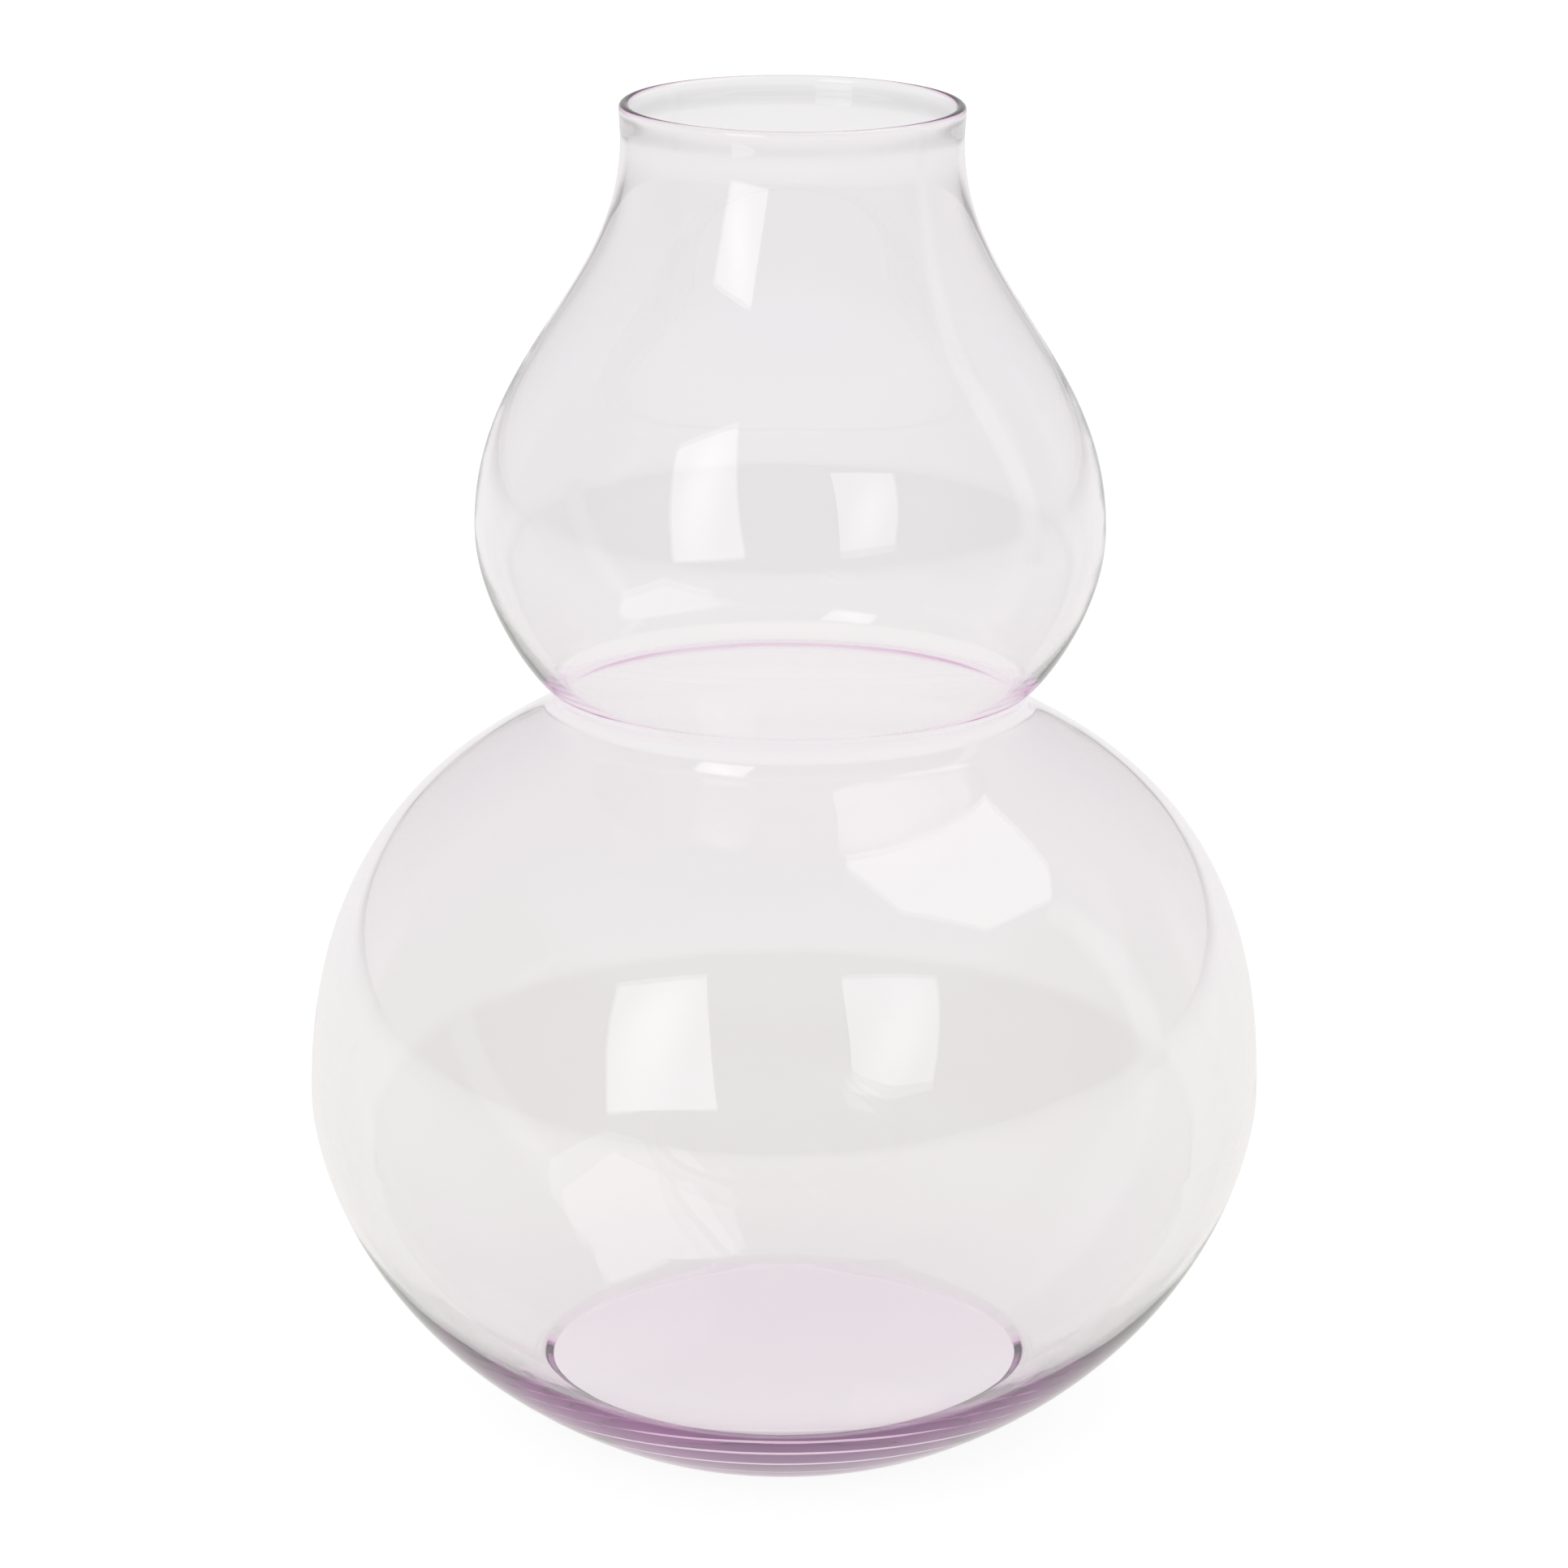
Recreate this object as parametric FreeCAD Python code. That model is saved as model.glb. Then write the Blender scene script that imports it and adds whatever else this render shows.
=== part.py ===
import FreeCAD, Part
import math
import os

# Double gourd vase: one wall of blown glass, round about the Z axis.
# Lengths are millimetres and +Z is up. The origin is the middle of the face that the vase rests on.
# Radii are of the outer surface unless the name says otherwise, and angles are degrees above level.

# Foot: flat underneath, with a small round edge, and the body leaves it at FOOT_RISE.
FOOT_RADIUS = 54.1
FOOT_EDGE_RADIUS = 1.2
FOOT_RISE = 29.8

# Lower bulb, at its widest ring.
LOWER_BULB_RADIUS = 108.1
LOWER_BULB_HEIGHT = 74.6

# Waist: a pinched groove between the bulbs, SHOULDER_RISE above the lower bulb's widest ring. The outline
# leans inwards below the groove and outwards above it.
SHOULDER_RISE = 92.8
WAIST_RADIUS = 53.2
WAIST_GROOVE_RADIUS = 6.0
WAIST_LEAN_BELOW = 142.0
WAIST_LEAN_ABOVE = 40.0

# Upper bulb, at its widest ring, UNDERCUT_RISE above the waist.
UNDERCUT_RISE = 38.6
UPPER_BULB_RADIUS = 69.9

# Neck, at its narrowest ring, TAPER_RISE above the upper bulb's widest ring. The lip is a round bead that
# stands a little proud of the neck, and its top is LIP_RISE above the narrowest ring.
TAPER_RISE = 86.4
NECK_RADIUS = 37.3
LIP_RISE = 7.6
LIP_RADIUS = 37.6
LIP_THICKNESS = 2.3

# Thickness of the glass, heavy in the floor and thin in the bulbs.
FLOOR_THICKNESS = 6.6
LOWER_BULB_WALL = 2.0
WAIST_WALL = 2.4
UPPER_BULB_WALL = 2.0
NECK_WALL = 1.9

# Floor of the hollow: flat to FLOOR_OVERHANG beyond the foot's radius, then a small round crease, and the
# basin leaves it at BASIN_RISE.
FLOOR_OVERHANG = 1.8
FLOOR_CREASE_RADIUS = 3.0
BASIN_RISE = 27.0

# Fullness of each stretch at its lower and its upper end: the length of the tangent there, as a share
# of the straight distance between the two ends.
LOWER_FLANK_SHARES = (0.584, 0.101)
SHOULDER_SHARES = (0.646, 0.146)
UNDERCUT_SHARES = (0.132, 0.416)
TAPER_SHARES = (0.413, 0.370)
LIP_SHARES = (0.35, 0.35)
BASIN_SHARES = (0.56, 0.12)

# Heights above the foot that follow from the sizes above.
WAIST_HEIGHT = LOWER_BULB_HEIGHT + SHOULDER_RISE
UPPER_BULB_HEIGHT = WAIST_HEIGHT + UNDERCUT_RISE
NECK_HEIGHT = UPPER_BULB_HEIGHT + TAPER_RISE
HEIGHT = NECK_HEIGHT + LIP_RISE

# Angle of an outline that stands upright.
UPRIGHT = 90.0


def point(radius, height):
    """Gives the place on the outline at a radius and a height."""
    return FreeCAD.Vector(radius, 0, height)


def direction(angle):
    """Gives the unit direction at an angle above level, in the plane of the outline."""
    return FreeCAD.Vector(math.cos(math.radians(angle)), 0, math.sin(math.radians(angle)))


def stretch(start, start_angle, end, end_angle, shares):
    """Joins two places by a smooth curve that leaves one and meets the other at the given angles."""
    reach = start.distanceToPoint(end)
    curve = Part.BezierCurve()
    curve.setPoles([
        start,
        start + direction(start_angle) * (shares[0] * reach),
        end - direction(end_angle) * (shares[1] * reach),
        end,
    ])
    return curve.toShape()


def arc(centre, radius, first, last):
    """Makes the arc about a centre from one angle to another."""
    places = [centre + direction(angle) * radius for angle in (first, (first + last) / 2, last)]
    return Part.Arc(*places).toShape()


def waist_ends(radius):
    """Gives the lower and upper ends of the waist's arc of a radius, about the groove's centre."""
    centre = point(WAIST_RADIUS + WAIST_GROOVE_RADIUS, WAIST_HEIGHT)
    return [centre + direction(lean + UPRIGHT) * radius for lean in (WAIST_LEAN_BELOW, WAIST_LEAN_ABOVE)]


def waist_arc(radius):
    """Makes the waist's arc of a radius, about the groove's centre."""
    centre = point(WAIST_RADIUS + WAIST_GROOVE_RADIUS, WAIST_HEIGHT)
    return arc(centre, radius, WAIST_LEAN_BELOW + UPRIGHT, WAIST_LEAN_ABOVE + UPRIGHT)


def outer_outline(lip_height):
    """Draws the outer outline from the middle of the foot up to the lip."""
    foot_edge = point(FOOT_RADIUS, FOOT_EDGE_RADIUS)
    foot_end = foot_edge + direction(FOOT_RISE - UPRIGHT) * FOOT_EDGE_RADIUS
    lower_bulb = point(LOWER_BULB_RADIUS, LOWER_BULB_HEIGHT)
    waist_below, waist_above = waist_ends(WAIST_GROOVE_RADIUS)
    upper_bulb = point(UPPER_BULB_RADIUS, UPPER_BULB_HEIGHT)
    neck = point(NECK_RADIUS, NECK_HEIGHT)
    lip = point(LIP_RADIUS, lip_height)
    return [
        Part.LineSegment(point(0, 0), point(FOOT_RADIUS, 0)).toShape(),
        arc(foot_edge, FOOT_EDGE_RADIUS, -UPRIGHT, FOOT_RISE - UPRIGHT),
        stretch(foot_end, FOOT_RISE, lower_bulb, UPRIGHT, LOWER_FLANK_SHARES),
        stretch(lower_bulb, UPRIGHT, waist_below, WAIST_LEAN_BELOW, SHOULDER_SHARES),
        waist_arc(WAIST_GROOVE_RADIUS),
        stretch(waist_above, WAIST_LEAN_ABOVE, upper_bulb, UPRIGHT, UNDERCUT_SHARES),
        stretch(upper_bulb, UPRIGHT, neck, UPRIGHT, TAPER_SHARES),
        stretch(neck, UPRIGHT, lip, UPRIGHT, LIP_SHARES),
    ]


def inner_outline(lip_height):
    """Draws the inner outline from the middle of the floor up to the lip, one wall inside the outer one."""
    floor_edge = point(FOOT_RADIUS + FLOOR_OVERHANG, FLOOR_THICKNESS)
    crease = floor_edge + direction(UPRIGHT) * FLOOR_CREASE_RADIUS
    basin = crease + direction(BASIN_RISE - UPRIGHT) * FLOOR_CREASE_RADIUS
    lower_bulb = point(LOWER_BULB_RADIUS - LOWER_BULB_WALL, LOWER_BULB_HEIGHT)
    ridge_radius = WAIST_GROOVE_RADIUS + WAIST_WALL
    waist_below, waist_above = waist_ends(ridge_radius)
    upper_bulb = point(UPPER_BULB_RADIUS - UPPER_BULB_WALL, UPPER_BULB_HEIGHT)
    neck = point(NECK_RADIUS - NECK_WALL, NECK_HEIGHT)
    lip = point(LIP_RADIUS - LIP_THICKNESS, lip_height)
    return [
        Part.LineSegment(point(0, FLOOR_THICKNESS), floor_edge).toShape(),
        arc(crease, FLOOR_CREASE_RADIUS, -UPRIGHT, BASIN_RISE - UPRIGHT),
        stretch(basin, BASIN_RISE, lower_bulb, UPRIGHT, BASIN_SHARES),
        stretch(lower_bulb, UPRIGHT, waist_below, WAIST_LEAN_BELOW, SHOULDER_SHARES),
        waist_arc(ridge_radius),
        stretch(waist_above, WAIST_LEAN_ABOVE, upper_bulb, UPRIGHT, UNDERCUT_SHARES),
        stretch(upper_bulb, UPRIGHT, neck, UPRIGHT, TAPER_SHARES),
        stretch(neck, UPRIGHT, lip, UPRIGHT, LIP_SHARES),
    ]


def glass_vase():
    """Turns the section of the wall, between the two outlines and the round lip, about the Z axis."""
    lip_edge_radius = LIP_THICKNESS / 2
    lip_height = HEIGHT - lip_edge_radius
    lip_centre = point(LIP_RADIUS - lip_edge_radius, lip_height)
    edges = outer_outline(lip_height)
    edges.append(arc(lip_centre, lip_edge_radius, 0, 2 * UPRIGHT))
    edges += inner_outline(lip_height)
    edges.append(Part.LineSegment(point(0, FLOOR_THICKNESS), point(0, 0)).toShape())
    section = Part.Face(Part.Wire(Part.__sortEdges__(edges)))
    return section.revolve(FreeCAD.Vector(0, 0, 0), FreeCAD.Vector(0, 0, 1), 360)


def main():
    """Writes the vase's one piece."""
    os.makedirs("parts", exist_ok=True)
    vase = glass_vase()
    vase.exportStep("parts/glass_vase.step")
    print("glass_vase", vase.ShapeType, vase.isValid(), round(vase.Volume, 1), vase.BoundBox)


main()
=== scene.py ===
"""Looks of the double gourd vase: blown lilac glass on a white table, under soft studio light.

Lengths are metres, +Z is up, and the origin is the middle of the foot's flat face.
"""
import logging
import math
from dataclasses import dataclass
from enum import Enum

import bpy
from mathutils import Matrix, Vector


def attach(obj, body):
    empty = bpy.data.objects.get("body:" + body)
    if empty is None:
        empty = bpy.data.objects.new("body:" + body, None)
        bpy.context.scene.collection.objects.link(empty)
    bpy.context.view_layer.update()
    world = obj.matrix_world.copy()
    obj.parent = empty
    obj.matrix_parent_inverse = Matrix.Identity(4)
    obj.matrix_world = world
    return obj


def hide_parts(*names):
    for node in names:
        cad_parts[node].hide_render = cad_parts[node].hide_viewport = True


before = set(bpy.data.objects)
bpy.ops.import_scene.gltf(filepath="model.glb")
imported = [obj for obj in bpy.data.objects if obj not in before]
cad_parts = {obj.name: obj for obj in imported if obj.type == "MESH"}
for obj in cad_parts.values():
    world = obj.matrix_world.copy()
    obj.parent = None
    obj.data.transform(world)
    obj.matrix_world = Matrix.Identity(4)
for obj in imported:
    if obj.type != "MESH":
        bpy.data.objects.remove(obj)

log = logging.getLogger("double_gourd_vase")

MM = 0.001
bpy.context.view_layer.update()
PHOTO_SIDE_PX = 1932
SENSOR_WIDTH_MM = 36.0

# Light goes in and out of the wall many times on its way through both bulbs and along the base.
LIGHT_BOUNCES = 40

# Angle of an outline that stands upright, in degrees above level.
UPRIGHT = 90

WHITE = (1, 1, 1, 1)

# Stops of a colour ramp: a place and a hex colour each. A new one starts in the middle until it is placed.
Stops = tuple[tuple[float, str], ...]
RAMP_MIDDLE = 0.5

# A ray that counts more matt surfaces than this has met one.
MET_MATT = 0.5


class Slot(Enum):
    """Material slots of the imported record."""

    GLASS = "lilac_glass"


class Node(Enum):
    """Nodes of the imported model."""

    VASE = "glass_vase"


def linear(code: str) -> tuple[float, float, float, float]:
    """Turns an sRGB hex colour into linear light.

    Args:
        code: Six hex digits, as in "#AABBCC".

    Returns:
        Red, green, blue and an alpha of 1.
    """
    parts = [int(code[at : at + 2], 16) / 255 for at in (1, 3, 5)]
    light = [part / 12.92 if part <= 0.04045 else ((part + 0.055) / 1.055) ** 2.4 for part in parts]
    return light[0], light[1], light[2], 1.0


def add_node(
    tree: bpy.types.NodeTree, kind: str, inputs: dict[int | str, object] | None = None, **settings: object
) -> bpy.types.Node:
    """Adds a node to a tree with its settings, and gives its inputs values or links.

    Args:
        tree: The tree that gets the node.
        kind: Blender's name for the node's type.
        inputs: A value, or an output socket to link from, for each named or numbered input.
        settings: The node's own properties.

    Returns:
        The new node.
    """
    node = tree.nodes.new(kind)
    for name, value in settings.items():
        setattr(node, name, value)
    for name, value in (inputs or {}).items():
        if isinstance(value, bpy.types.NodeSocket):
            tree.links.new(value, node.inputs[name])
        else:
            node.inputs[name].default_value = value
    return node


def blank_material(name: str) -> bpy.types.Material:
    """Makes a material whose node tree is still empty.

    Args:
        name: What it is made of and how.

    Returns:
        The material.
    """
    material = bpy.data.materials.new(name)
    material.use_nodes = True
    material.node_tree.nodes.clear()
    return material


def colour_ramp(
    tree: bpy.types.NodeTree, factor: bpy.types.NodeSocket, stops: Stops
) -> bpy.types.NodeSocket:
    """Turns a factor into a colour.

    Args:
        tree: The tree that gets the ramp.
        factor: Where a point lies between the ramp's ends, from 0 to 1.
        stops: Places from 0 to 1, with their colours.

    Returns:
        The colour's socket.
    """
    ramp = add_node(tree, "ShaderNodeValToRGB", {0: factor})
    elements = ramp.color_ramp.elements
    while len(elements) < len(stops):
        elements.new(RAMP_MIDDLE)
    for element, (where, code) in zip(elements, stops):
        element.position = where
        element.color = linear(code)
    return ramp.outputs[0]


def deselect() -> None:
    """Leaves object mode with nothing selected."""
    if bpy.context.mode != "OBJECT":
        bpy.ops.object.mode_set(mode="OBJECT")
    bpy.ops.object.select_all(action="DESELECT")


def choose(pieces: list[bpy.types.Object]) -> None:
    """Selects only the given objects and makes the first one active.

    Args:
        pieces: One object or more.
    """
    deselect()
    for piece in pieces:
        piece.select_set(True)
    bpy.context.view_layer.objects.active = pieces[0]


@dataclass(frozen=True)
class Stretch:
    """One smooth stretch of an outline, as a cubic curve in the plane of radius and height.

    Attributes:
        places: The start, the two handles and the end.
        steps: How many straight edges stand for the stretch.
    """

    places: tuple[Vector, Vector, Vector, Vector]
    steps: int


def place(radius: float, height: float) -> Vector:
    """Gives the place on the outline at a radius and a height."""
    return Vector((radius, 0, height))


def direction(angle: float) -> Vector:
    """Gives the unit direction at an angle in degrees above level."""
    return Vector((math.cos(math.radians(angle)), 0, math.sin(math.radians(angle))))


def smooth(
    start: Vector,
    start_angle: float,
    end: Vector,
    end_angle: float,
    shares: tuple[float, float],
    steps: int,
) -> Stretch:
    """Joins two places by a curve that leaves one and meets the other at the given angles.

    Args:
        start: Where the curve leaves.
        start_angle: Its direction there, in degrees above level.
        end: Where the curve ends.
        end_angle: Its direction there.
        shares: Length of each handle as a share of the straight distance.
        steps: How many straight edges stand for the curve.

    Returns:
        The stretch.
    """
    reach = (end - start).length
    first = start + direction(start_angle) * (shares[0] * reach)
    last = end - direction(end_angle) * (shares[1] * reach)
    return Stretch((start, first, last, end), steps)


def arc(centre: Vector, radius: float, first: float, last: float, steps: int) -> Stretch:
    """Draws an arc of up to about 140 degrees.

    Args:
        centre: The arc's centre.
        radius: The arc's radius.
        first: Angle at which it starts, in degrees above level.
        last: Angle at which it ends.
        steps: How many straight edges stand for the arc.

    Returns:
        The stretch, whose handles have the length that keeps a cubic curve round.
    """
    turn = math.radians(last - first)
    handle = 4 / 3 * math.tan(turn / 4) * radius
    start = centre + direction(first) * radius
    end = centre + direction(last) * radius
    ahead = direction(first + UPRIGHT) * handle
    behind = direction(last + UPRIGHT) * handle
    return Stretch((start, start + ahead, end - behind, end), steps)


@dataclass(frozen=True)
class Wall:
    """How far an outline lies inside the outer surface, at each ring of the vase."""

    lower_bulb: float = 0.0
    waist: float = 0.0
    upper_bulb: float = 0.0
    neck: float = 0.0
    lip: float = 0.0


@dataclass(frozen=True)
class Steps:
    """How many straight edges stand for each stretch of the section."""

    flat: int = 10
    foot_edge: int = 6
    crease: int = 8
    flank: int = 36
    shoulder: int = 36
    waist: int = 16
    undercut: int = 28
    taper: int = 36
    neck: int = 8
    lip_edge: int = 7


@dataclass(frozen=True)
class VaseSection:
    """Sizes of the vase's wall, and the outlines that follow from them.

    Radii are of the outer surface and angles are degrees above level. Each rise in metres is the height from
    one ring to the next, and each pair of shares says how full a stretch is at its lower and its upper end.
    """

    foot_radius: float = 54.1 * MM
    foot_edge_radius: float = 1.2 * MM
    foot_rise: float = 29.8
    lower_bulb_radius: float = 108.1 * MM
    lower_bulb_height: float = 74.6 * MM
    shoulder_rise: float = 92.8 * MM
    waist_radius: float = 53.2 * MM
    waist_groove_radius: float = 6.0 * MM
    waist_lean_below: float = 142.0
    waist_lean_above: float = 40.0
    undercut_rise: float = 38.6 * MM
    upper_bulb_radius: float = 69.9 * MM
    taper_rise: float = 86.4 * MM
    neck_radius: float = 37.3 * MM
    lip_rise: float = 7.6 * MM
    lip_radius: float = 37.6 * MM
    wall: Wall = Wall(
        lower_bulb=2.0 * MM, waist=2.4 * MM, upper_bulb=2.0 * MM, neck=1.9 * MM, lip=2.3 * MM
    )
    floor_thickness: float = 6.6 * MM
    floor_overhang: float = 1.8 * MM
    floor_crease_radius: float = 3.0 * MM
    basin_rise: float = 27.0
    lower_flank_shares: tuple[float, float] = (0.584, 0.101)
    shoulder_shares: tuple[float, float] = (0.646, 0.146)
    undercut_shares: tuple[float, float] = (0.132, 0.416)
    taper_shares: tuple[float, float] = (0.413, 0.370)
    lip_shares: tuple[float, float] = (0.35, 0.35)
    basin_shares: tuple[float, float] = (0.56, 0.12)
    flat_shares: tuple[float, float] = (0.60, 0.02)
    steps: Steps = Steps()

    @property
    def waist_height(self) -> float:
        """Height of the waist's narrowest ring."""
        return self.lower_bulb_height + self.shoulder_rise

    @property
    def upper_bulb_height(self) -> float:
        """Height of the upper bulb's widest ring."""
        return self.waist_height + self.undercut_rise

    @property
    def neck_height(self) -> float:
        """Height of the neck's narrowest ring."""
        return self.upper_bulb_height + self.taper_rise

    @property
    def height(self) -> float:
        """Height of the lip's top."""
        return self.neck_height + self.lip_rise

    @property
    def lip_edge_radius(self) -> float:
        """Radius of the lip's round edge."""
        return self.wall.lip / 2

    def waist_arc(self, radius: float) -> Stretch:
        """Draws the waist's arc about the groove's centre.

        Args:
            radius: The arc's radius.

        Returns:
            The stretch.
        """
        centre = place(self.waist_radius + self.waist_groove_radius, self.waist_height)
        first, last = self.waist_lean_below + UPRIGHT, self.waist_lean_above + UPRIGHT
        return arc(centre, radius, first, last, self.steps.waist)

    def rise_to_lip(self, wall: Wall) -> list[Stretch]:
        """Draws an outline from the lower bulb's widest ring up to the lip.

        Args:
            wall: How far the outline lies inside the outer surface.

        Returns:
            The stretches, from the bottom up.
        """
        steps = self.steps
        lower = place(self.lower_bulb_radius - wall.lower_bulb, self.lower_bulb_height)
        waist = self.waist_arc(self.waist_groove_radius + wall.waist)
        below, above = waist.places[0], waist.places[3]
        upper = place(self.upper_bulb_radius - wall.upper_bulb, self.upper_bulb_height)
        neck = place(self.neck_radius - wall.neck, self.neck_height)
        lip = place(self.lip_radius - wall.lip, self.height - self.lip_edge_radius)
        return [
            smooth(lower, UPRIGHT, below, self.waist_lean_below, self.shoulder_shares, steps.shoulder),
            waist,
            smooth(above, self.waist_lean_above, upper, UPRIGHT, self.undercut_shares, steps.undercut),
            smooth(upper, UPRIGHT, neck, UPRIGHT, self.taper_shares, steps.taper),
            smooth(neck, UPRIGHT, lip, UPRIGHT, self.lip_shares, steps.neck),
        ]

    def outer(self) -> list[Stretch]:
        """Draws the outer outline.

        Returns:
            The stretches, from the middle of the foot up to the lip.
        """
        steps = self.steps
        edge = place(self.foot_radius, self.foot_edge_radius)
        foot = arc(edge, self.foot_edge_radius, -UPRIGHT, self.foot_rise - UPRIGHT, steps.foot_edge)
        rise = self.rise_to_lip(Wall())
        lower = rise[0].places[0]
        return [
            smooth(place(0, 0), 0, foot.places[0], 0, self.flat_shares, steps.flat),
            foot,
            smooth(foot.places[3], self.foot_rise, lower, UPRIGHT, self.lower_flank_shares, steps.flank),
            *rise,
        ]

    def lip(self) -> list[Stretch]:
        """Draws the lip's round edge.

        Returns:
            Two quarter turns, from the outer outline over to the inner one.
        """
        centre = place(self.lip_radius - self.lip_edge_radius, self.height - self.lip_edge_radius)
        return [
            arc(centre, self.lip_edge_radius, first, first + UPRIGHT, self.steps.lip_edge)
            for first in (0, UPRIGHT)
        ]

    def inner(self) -> list[Stretch]:
        """Draws the inner outline.

        Returns:
            The stretches, from the middle of the floor up to the lip.
        """
        steps = self.steps
        floor_edge = place(self.foot_radius + self.floor_overhang, self.floor_thickness)
        radius = self.floor_crease_radius
        centre = floor_edge + direction(UPRIGHT) * radius
        crease = arc(centre, radius, -UPRIGHT, self.basin_rise - UPRIGHT, steps.crease)
        rise = self.rise_to_lip(self.wall)
        lower = rise[0].places[0]
        middle = place(0, self.floor_thickness)
        return [
            smooth(middle, 0, crease.places[0], 0, self.flat_shares, steps.flat),
            crease,
            smooth(crease.places[3], self.basin_rise, lower, UPRIGHT, self.basin_shares, steps.flank),
            *rise,
        ]


@dataclass(frozen=True)
class BlownLilacGlass:
    """Soda-lime glass, tinted in the melt, blown and fire-polished.

    The fire leaves no scratch or grain, so the surface mirrors clearly at every angle. Cords in the melt
    leave faint level waves and the blowing a finer ripple, which show only in the edges of what is mirrored.
    The colour is only in the depth of the glass: pale in the thin bulbs, pink in the floor and violet where
    light runs along the wall.

    Attributes:
        ior: Index of refraction of soda-lime glass.
        roughness: Zero, because the surface was melted smooth.
        absorption_per_m: How fast red, green and blue light are lost, per metre of glass.
        cord_spacing: Distance from one cord to the next.
        cord_squash: How many times wider than high the waves are.
        cord_depth: Height of the cords' waves.
        ripple_spacing: Distance from one ripple to the next.
        ripple_depth: Height of the ripples.
    """

    ior: float = 1.5
    roughness: float = 0.0
    absorption_per_m: tuple[float, float, float] = (5.4, 13.8, 6.2)
    cord_spacing: float = 28 * MM
    cord_squash: float = 2.5
    cord_depth: float = 0.05 * MM
    ripple_spacing: float = 7 * MM
    ripple_depth: float = 0.0012 * MM

    def material(self) -> bpy.types.Material:
        """Builds the glass.

        Returns:
            The material.
        """
        material = blank_material("soda_glass_lilac_blown")
        tree = material.node_tree
        where = add_node(tree, "ShaderNodeTexCoord")
        squash = (1.0, 1.0, self.cord_squash)
        level = add_node(tree, "ShaderNodeMapping", {"Vector": where.outputs["Object"], "Scale": squash})
        skin: dict[int | str, object] = {}
        for spacing, depth in (
            (self.cord_spacing, self.cord_depth),
            (self.ripple_spacing, self.ripple_depth),
        ):
            waves = {"Vector": level.outputs[0], "Scale": 1 / spacing, "Detail": 1.0}
            noise = add_node(tree, "ShaderNodeTexNoise", waves)
            relief = {"Strength": 1.0, "Distance": depth, "Height": noise.outputs[0], **skin}
            skin = {"Normal": add_node(tree, "ShaderNodeBump", relief).outputs[0]}
        surface = add_node(
            tree,
            "ShaderNodeBsdfPrincipled",
            {
                "Base Color": WHITE,
                "Roughness": self.roughness,
                "IOR": self.ior,
                "Transmission Weight": 1.0,
                **skin,
            },
        )
        density = max(self.absorption_per_m)
        kept = [1 - loss / density for loss in self.absorption_per_m]
        depths = add_node(tree, "ShaderNodeVolumeAbsorption", {"Color": (*kept, 1), "Density": density})
        add_node(
            tree,
            "ShaderNodeOutputMaterial",
            {"Surface": surface.outputs["BSDF"], "Volume": depths.outputs["Volume"]},
        )
        return material


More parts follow.
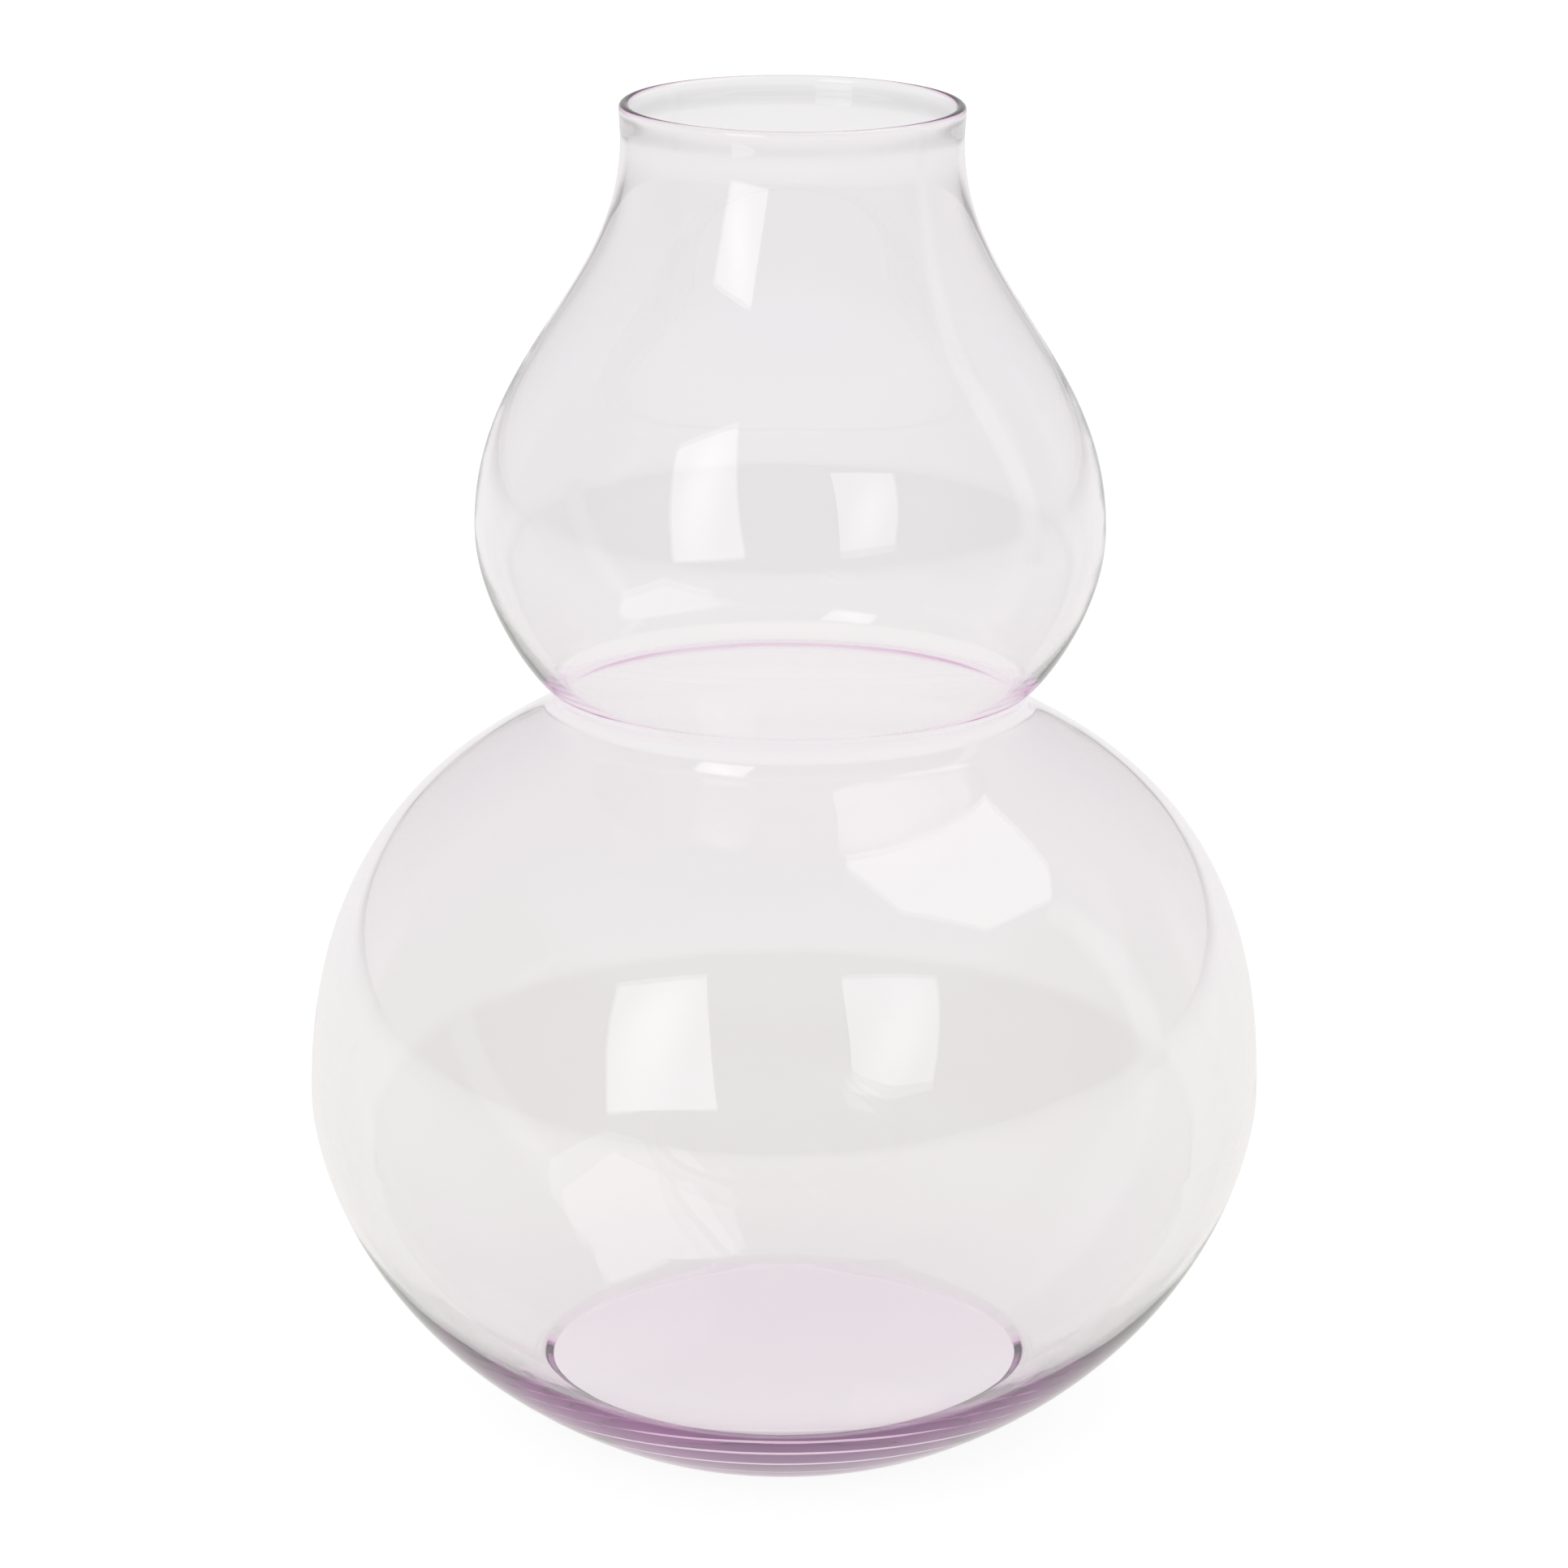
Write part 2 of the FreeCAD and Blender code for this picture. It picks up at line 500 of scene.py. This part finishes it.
@dataclass(frozen=True)
class GlassVase:
    """The one piece of glass: its section spun about the Z axis, then let lean as the real one does.

    Attributes:
        section: The wall's section.
        finish: The glass.
        turns: How many flat sides stand for the full round.
        drift: How far the vase leans to the right, at even heights from the foot to the lip.
        dip: How far its right side dips, in degrees, at the same heights.
        section_merge: Distance under which ends of stretches become one.
        spin_merge: Distance under which the first and last section, and the ends on the axis, become one.
    """

    section: VaseSection
    finish: BlownLilacGlass
    turns: int = 256
    drift: tuple[float, ...] = (0.0, 0.0, 1.2 * MM, 1.45 * MM, 1.85 * MM)
    dip: tuple[float, ...] = (0.0, 0.0, 0.3, 0.45, 0.45)
    section_merge: float = 0.001 * MM
    spin_merge: float = 0.005 * MM

    def draw(self, stretch: Stretch) -> bpy.types.Object:
        """Draws one stretch of the section as a curve and turns it into edges.

        Args:
            stretch: The stretch.

        Returns:
            A mesh of edges.
        """
        deselect()
        bpy.ops.curve.primitive_bezier_curve_add()
        line = bpy.context.object.data.splines[0]
        line.resolution_u = stretch.steps
        start, leave, meet, end = stretch.places
        for knot, back, here, ahead in (
            (line.bezier_points[0], start, start, leave),
            (line.bezier_points[1], meet, end, end),
        ):
            knot.handle_left_type = "FREE"
            knot.handle_right_type = "FREE"
            knot.co = here
            knot.handle_left = back
            knot.handle_right = ahead
        bpy.ops.object.convert(target="MESH")
        return bpy.context.object

    def build(self) -> bpy.types.Object:
        """Builds the vase's mesh and dresses it.

        Returns:
            The finished piece.
        """
        section = self.section
        choose([self.draw(part) for part in section.outer() + section.lip() + section.inner()])
        bpy.ops.object.join()
        vase = bpy.context.object
        vase.name = "blown_glass_vase"
        vase.data.name = "blown_glass_vase"
        bpy.ops.object.mode_set(mode="EDIT")
        bpy.ops.mesh.select_all(action="SELECT")
        bpy.ops.mesh.remove_doubles(threshold=self.section_merge)
        bpy.ops.mesh.spin(steps=self.turns, angle=math.tau, center=(0, 0, 0), axis=(0, 0, 1))
        bpy.ops.mesh.select_all(action="SELECT")
        bpy.ops.mesh.remove_doubles(threshold=self.spin_merge)
        bpy.ops.mesh.normals_make_consistent(inside=False)
        bpy.ops.object.mode_set(mode="OBJECT")
        bpy.ops.object.shade_smooth()
        self.lean(vase)
        self.dress(vase)
        return vase

    def lean(self, vase: bpy.types.Object) -> None:
        """Moves the upper bulb and the neck a little off the foot's axis, and tilts them.

        The tilt turns about the lip's left edge, so that the lip is nowhere higher than before.

        Args:
            vase: The vase's mesh.
        """
        deselect()
        height = self.section.height
        bpy.ops.object.add(type="LATTICE", location=(0, 0, height / 2))
        cage = bpy.context.object
        cage.data.points_u = cage.data.points_v = 2
        cage.data.points_w = len(self.drift)
        cage.data.interpolation_type_u = "KEY_LINEAR"
        cage.data.interpolation_type_v = "KEY_LINEAR"
        cage.data.interpolation_type_w = "KEY_CATMULL_ROM"
        cage.scale = (self.section.lower_bulb_radius * 2, self.section.lower_bulb_radius * 2, height)
        corners = cage.data.points_u * cage.data.points_v
        for number, knot in enumerate(cage.data.points):
            level = number // corners
            knot.co_deform.x += self.drift[level] / cage.scale.x
            out = knot.co.x * cage.scale.x + self.section.lip_radius
            knot.co_deform.z -= out * math.tan(math.radians(self.dip[level])) / cage.scale.z
        choose([vase])
        bend = vase.modifiers.new("lean", "LATTICE")
        bend.object = cage
        bpy.context.view_layer.update()
        bpy.ops.object.modifier_apply(modifier=bend.name)
        choose([cage])
        bpy.ops.object.delete()

    def dress(self, vase: bpy.types.Object) -> None:
        """Gives the vase its glass and says what it stands for.

        Args:
            vase: The vase's mesh.
        """
        vase.data.materials.clear()
        vase.data.materials.append(self.finish.material())
        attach(vase, "root")
        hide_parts(Node.VASE.value)


@dataclass(frozen=True)
class Camera:
    """The camera of the photograph.

    Attributes:
        distance: How far in front of the vase's axis it stands.
        height: Its height above the table.
        look_down: How far it looks down, in degrees.
        focal_px: Its focal length, in pixels of the photograph.
        sight: How far it sees.
    """

    distance: float = 1046.2 * MM
    height: float = 476.7 * MM
    look_down: float = 17.57
    focal_px: float = 6000.0
    sight: float = 100.0

    def build(self) -> bpy.types.Object:
        """Adds the camera and makes it the scene's.

        Returns:
            The camera.
        """
        deselect()
        tilt = math.radians(UPRIGHT - self.look_down)
        bpy.ops.object.camera_add(location=(0, -self.distance, self.height), rotation=(tilt, 0, 0))
        camera = bpy.context.object
        camera.name = "studio_camera"
        camera.data.sensor_width = SENSOR_WIDTH_MM
        camera.data.lens = self.focal_px / PHOTO_SIDE_PX * SENSOR_WIDTH_MM
        camera.data.clip_end = self.sight
        bpy.context.scene.camera = camera
        return camera


@dataclass(frozen=True)
class DiffuserCloth:
    """White cloth of a soft box, woven close and lit from behind.

    It spreads the lamp's light, so that its mirror image is a plain white shape. Where the lamp stands close
    behind the cloth, the shape has a brighter core.

    Attributes:
        strength: Its brightness away from the core, where white is 1.
        core_gain: How many times brighter its middle is.
        core_reach: How far the core reaches from the middle.
        core_squash: Share at which heights count, which makes the core tall.
    """

    strength: float
    core_gain: float = 1.0
    core_reach: float = 0.3
    core_squash: float = 0.35

    def material(self, middle: Vector) -> bpy.types.Material:
        """Builds the lit cloth.

        Args:
            middle: Where the core is brightest.

        Returns:
            The material.
        """
        material = blank_material("diffuser_cloth_lit")
        tree = material.node_tree
        where = add_node(tree, "ShaderNodeTexCoord")
        off = add_node(
            tree, "ShaderNodeVectorMath", {0: where.outputs["Object"], 1: middle}, operation="SUBTRACT"
        )
        squash = (1.0, 1.0, self.core_squash)
        tall = add_node(tree, "ShaderNodeVectorMath", {0: off.outputs[0], 1: squash}, operation="MULTIPLY")
        away = add_node(tree, "ShaderNodeVectorMath", {0: tall.outputs[0]}, operation="LENGTH")
        core = add_node(
            tree,
            "ShaderNodeMapRange",
            {
                "Value": away.outputs["Value"],
                "From Min": 0.0,
                "From Max": self.core_reach,
                "To Min": self.strength * self.core_gain,
                "To Max": self.strength,
            },
            interpolation_type="SMOOTHSTEP",
        )
        glow = add_node(tree, "ShaderNodeEmission", {"Color": WHITE, "Strength": core.outputs[0]})
        add_node(tree, "ShaderNodeOutputMaterial", {"Surface": glow.outputs["Emission"]})
        return material


@dataclass(frozen=True)
class SoftBox:
    """A lit panel beside or above the vase.

    Attributes:
        name: The panel's name.
        corners: Its corners, in order round its edge.
        finish: Its cloth.
    """

    name: str
    corners: tuple[tuple[float, float, float], ...]
    finish: DiffuserCloth

    def build(self) -> bpy.types.Object:
        """Adds the panel, which the camera itself doesn't see.

        Returns:
            The panel.
        """
        deselect()
        bpy.ops.mesh.primitive_circle_add(vertices=len(self.corners), fill_type="NGON")
        panel = bpy.context.object
        panel.name = self.name
        for knot, corner in zip(panel.data.vertices, self.corners):
            knot.co = Vector(corner)
        middle = sum((Vector(corner) for corner in self.corners), Vector()) / len(self.corners)
        panel.data.materials.append(self.finish.material(middle))
        panel.visible_camera = False
        return panel


@dataclass(frozen=True)
class WhiteLaminate:
    """White laminate, pressed matt.

    It has no grain and no shine, so the eye sees plain white and the vase's faint shadow. Most of its light
    is its own, which stands for the even light of a whole studio. In and through the glass that glow carries
    painted light and shade: a painted pool of light under the foot, and painted shade far off and beside
    the lit sweep.

    Attributes:
        seen_glow: Its own light as the camera sees it, where white is 1.
        seen_share: Share of the lamps' light that it gives back there, which carries the shadow.
        inner_glow: Its own light as it shows in and through the glass.
        inner_share: Share of the lamps' light that it gives back there.
        painted_foot_light_gain: How many times brighter its own light is under the foot, where the glass
            rests on it, as a painted pool of light.
        painted_foot_light_blend: Width over which that painted light ends.
        painted_shade_start: Distance from the vase at which painted shade starts to darken its glow in and
            through the glass.
        painted_shade_end: Distance at which that painted shade is darkest.
        painted_shade_low: Share of its light that is left there.
        sweep_reach: How far to each side it is fully bright.
        sweep_blend: Width over which painted shade darkens it beyond that.
        painted_shade_beside_sweep: Share of its light that is left there.
        stops: Its colour in and through the glass, by metres along Y.
    """

    seen_glow: float = 0.84
    seen_share: float = 0.3
    inner_glow: float = 0.87
    inner_share: float = 0.13
    painted_foot_light_gain: float = 1.1
    painted_foot_light_blend: float = 1.0 * MM
    painted_shade_start: float = 2.0
    painted_shade_end: float = 4.0
    painted_shade_low: float = 0.6
    sweep_reach: float = 0.8
    sweep_blend: float = 0.8
    painted_shade_beside_sweep: float = 0.8
    stops: Stops = ((-0.7, "#F3EEEB"), (-0.4, "#F6F7F1"), (1.1, "#F6F8F6"), (1.8, "#F2F3F1"))

    def material(self, reach: float, foot_radius: float) -> bpy.types.Material:
        """Builds the lit laminate.

        Args:
            reach: Distance from the vase to the table's edges.
            foot_radius: Radius of the vase's foot.

        Returns:
            The material.
        """
        material = blank_material("white_laminate_lit")
        tree = material.node_tree
        path = add_node(tree, "ShaderNodeLightPath")
        where = add_node(tree, "ShaderNodeTexCoord")
        parts = add_node(tree, "ShaderNodeSeparateXYZ", {0: where.outputs["Object"]})
        along = add_node(
            tree, "ShaderNodeMapRange", {"Value": parts.outputs["Y"], "From Min": -reach, "From Max": reach}
        )
        stops = tuple(((y + reach) / (reach + reach), code) for y, code in self.stops)
        colour = colour_ramp(tree, along.outputs[0], stops)
        out = add_node(tree, "ShaderNodeVectorMath", {0: where.outputs["Object"]}, operation="LENGTH")
        aside = add_node(tree, "ShaderNodeMath", {0: parts.outputs["X"]}, operation="ABSOLUTE")
        painted_far_shade, foot, sweep = (
            add_node(
                tree,
                "ShaderNodeMapRange",
                {"Value": value, "From Min": start, "From Max": end, "To Min": first, "To Max": last},
            ).outputs[0]
            for value, start, end, first, last in (
                # Painted shade: the table's glow grows darker far from the vase.
                (out.outputs["Value"], self.painted_shade_start, self.painted_shade_end, 1.0, self.painted_shade_low),
                # Painted light: a pool of brighter glow on the table under the vase's foot.
                (
                    out.outputs["Value"],
                    foot_radius,
                    foot_radius + self.painted_foot_light_blend,
                    self.inner_glow * self.painted_foot_light_gain,
                    self.inner_glow,
                ),
                # Painted shade: the table's glow is darker beside the lit sweep.
                (
                    aside.outputs[0],
                    self.sweep_reach,
                    self.sweep_reach + self.sweep_blend,
                    1.0,
                    self.painted_shade_beside_sweep,
                ),
            )
        )
        # The glow in and through the glass, with its painted light under the foot and its painted shade.
        lit = add_node(tree, "ShaderNodeMath", {0: painted_far_shade, 1: foot}, operation="MULTIPLY")
        glow = add_node(tree, "ShaderNodeMath", {0: lit.outputs[0], 1: sweep}, operation="MULTIPLY")
        seen = self.glowing(tree, WHITE, self.seen_glow, self.seen_share)
        inner = self.glowing(tree, colour, glow.outputs[0], self.inner_share)
        mixed = add_node(tree, "ShaderNodeMixShader", {0: path.outputs["Is Camera Ray"], 1: inner, 2: seen})
        add_node(tree, "ShaderNodeOutputMaterial", {"Surface": mixed.outputs[0]})
        return material

    def glowing(
        self, tree: bpy.types.NodeTree, colour: object, glow: object, share: float
    ) -> bpy.types.NodeSocket:
        """Makes a surface that gives light of its own and also takes a faint shadow.

        Args:
            tree: The tree that gets the surface.
            colour: Colour of its own light, or a socket that gives it.
            glow: Strength of its own light, or a socket that gives it.
            share: Share of the lamps' light that it gives back.

        Returns:
            The surface's socket.
        """
        light = add_node(tree, "ShaderNodeEmission", {"Color": colour, "Strength": glow})
        matt = add_node(tree, "ShaderNodeBsdfDiffuse", {"Color": (share, share, share, 1)})
        return add_node(tree, "ShaderNodeAddShader", {0: light.outputs[0], 1: matt.outputs[0]}).outputs[0]


@dataclass(frozen=True)
class Table:
    """The white table that the vase stands on.

    Attributes:
        foot_radius: Radius of the vase's foot.
        reach: Distance from the vase to its edges.
        gap: Space left under the foot, so that glass and table don't share a face.
        finish: Its surface.
    """

    foot_radius: float
    reach: float = 6.0
    gap: float = 0.2 * MM
    finish: WhiteLaminate = WhiteLaminate()

    def build(self) -> bpy.types.Object:
        """Adds the table.

        Returns:
            The table.
        """
        deselect()
        bpy.ops.mesh.primitive_plane_add(size=2 * self.reach, location=(0, 0, -self.gap))
        table = bpy.context.object
        bpy.ops.object.transform_apply()
        table.name = "studio_table"
        table.data.materials.append(self.finish.material(self.reach, self.foot_radius))
        return table


@dataclass(frozen=True)
class Room:
    """The dim room round the table, as light that comes from each direction.

    Attributes:
        far_mirrored: Colours of the far side as the glass mirrors it, by degrees above level.
        far_through: Colours of the far side as it shows through the glass, by degrees above level.
        near: Colours of the side where the camera stands, by degrees above level.
        far_start: Y part of a direction from which on only the far side shows.
        near_start: Y part of a direction up to which only the near side shows.
        matt_light: Grey that lights the table from every direction.
    """

    far_mirrored: Stops = ((-5.0, "#EAEAE8"), (8.0, "#E0E0DE"), (30.0, "#C4C2C2"), (90.0, "#98969C"))
    far_through: Stops = ((-5.0, "#D0D0CE"), (3.0, "#D0D0CE"), (16.0, "#BCB9C4"), (90.0, "#BCB9C4"))
    near: Stops = ((-5.0, "#727062"), (34.0, "#727062"), (46.0, "#9C9CA0"), (90.0, "#9C9CA0"))
    far_start: float = 0.55
    near_start: float = -0.1
    matt_light: float = 0.8

    def heights(self, stops: Stops) -> Stops:
        """Turns stops by degrees above level into stops by the upward part of a direction."""
        return tuple(((math.sin(math.radians(angle)) + 1) / 2, code) for angle, code in stops)

    def build(self) -> None:
        """Sets the light that comes from all round, and white for the camera."""
        world = bpy.data.worlds.new("studio_room")
        bpy.context.scene.world = world
        world.use_nodes = True
        tree = world.node_tree
        tree.nodes.clear()
        where = add_node(tree, "ShaderNodeTexCoord")
        parts = add_node(tree, "ShaderNodeSeparateXYZ", {0: where.outputs["Generated"]})
        upward = add_node(
            tree, "ShaderNodeMapRange", {"Value": parts.outputs["Z"], "From Min": -1.0, "From Max": 1.0}
        )
        path = add_node(tree, "ShaderNodeLightPath")
        mirrored, through, near = (
            colour_ramp(tree, upward.outputs[0], self.heights(stops))
            for stops in (self.far_mirrored, self.far_through, self.near)
        )
        nearness = add_node(
            tree,
            "ShaderNodeMapRange",
            {"Value": parts.outputs["Y"], "From Min": self.far_start, "From Max": self.near_start},
        )
        from_matt = add_node(
            tree,
            "ShaderNodeMath",
            {0: path.outputs["Diffuse Depth"], 1: MET_MATT},
            operation="GREATER_THAN",
        )
        grey = (self.matt_light, self.matt_light, self.matt_light, 1)
        # Each of these covers the ones before it. A colour Mix node has its colours at 6 and 7.
        shown = mirrored
        for share, colour in (
            (path.outputs["Is Transmission Ray"], through),
            (nearness.outputs[0], near),
            (from_matt.outputs[0], grey),
            (path.outputs["Is Camera Ray"], WHITE),
        ):
            mix = add_node(tree, "ShaderNodeMix", {0: share, 6: shown, 7: colour}, data_type="RGBA")
            shown = mix.outputs[2]
        glow = add_node(tree, "ShaderNodeBackground", {"Color": shown, "Strength": 1.0})
        add_node(tree, "ShaderNodeOutputWorld", {"Surface": glow.outputs[0]})


@dataclass(frozen=True)
class Studio:
    """White table, dim room and three lights: a box at the left, one overhead and a strip at the right."""

    table: Table
    room: Room = Room()
    lights: tuple[SoftBox, ...] = (
        SoftBox(
            "left_soft_box",
            (
                (-1.114, -0.924, 1.267),
                (-0.493, -1.021, 1.364),
                (-0.288, -1.047, 0.280),
                (-0.835, -0.967, 0.202),
            ),
            DiffuserCloth(strength=1.6, core_gain=1.5),
        ),
        SoftBox(
            "right_strip_light",
            ((1.0, 0.0, 0.95), (0.98, 0.16, 0.95), (0.98, 0.16, 0.02), (1.0, 0.0, 0.02)),
            DiffuserCloth(strength=0.6),
        ),
        SoftBox(
            "overhead_soft_box",
            (
                (0.131, 0.341, 1.268),
                (0.398, 0.717, 1.002),
                (0.457, 0.745, 0.960),
                (0.564, 0.504, 0.982),
                (0.795, 0.321, 0.917),
                (0.919, 0.133, 0.912),
                (0.850, -0.266, 1.080),
                (0.490, -0.330, 1.294),
                (0.227, -0.057, 1.346),
            ),
            DiffuserCloth(strength=1.3),
        ),
    )

    def build(self) -> list[bpy.types.Object]:
        """Adds the table, the room and the lights.

        Returns:
            The table and the lights.
        """
        table = self.table.build()
        self.room.build()
        return [table, *(light.build() for light in self.lights)]


def main() -> None:
    """Builds the scene and reports its pieces."""
    logging.basicConfig(level=logging.INFO)
    scene = bpy.context.scene
    scene.view_settings.view_transform = "Standard"
    scene.cycles.max_bounces = LIGHT_BOUNCES
    scene.cycles.glossy_bounces = LIGHT_BOUNCES
    scene.cycles.transmission_bounces = LIGHT_BOUNCES
    section = VaseSection()
    for piece in (Camera().build(), *Studio(Table(section.foot_radius)).build()):
        log.info("%s", piece.name)
    vase = GlassVase(section, BlownLilacGlass()).build()
    log.info("%s: %d faces", vase.name, len(vase.data.polygons))


if __name__ == "__main__":
    main()
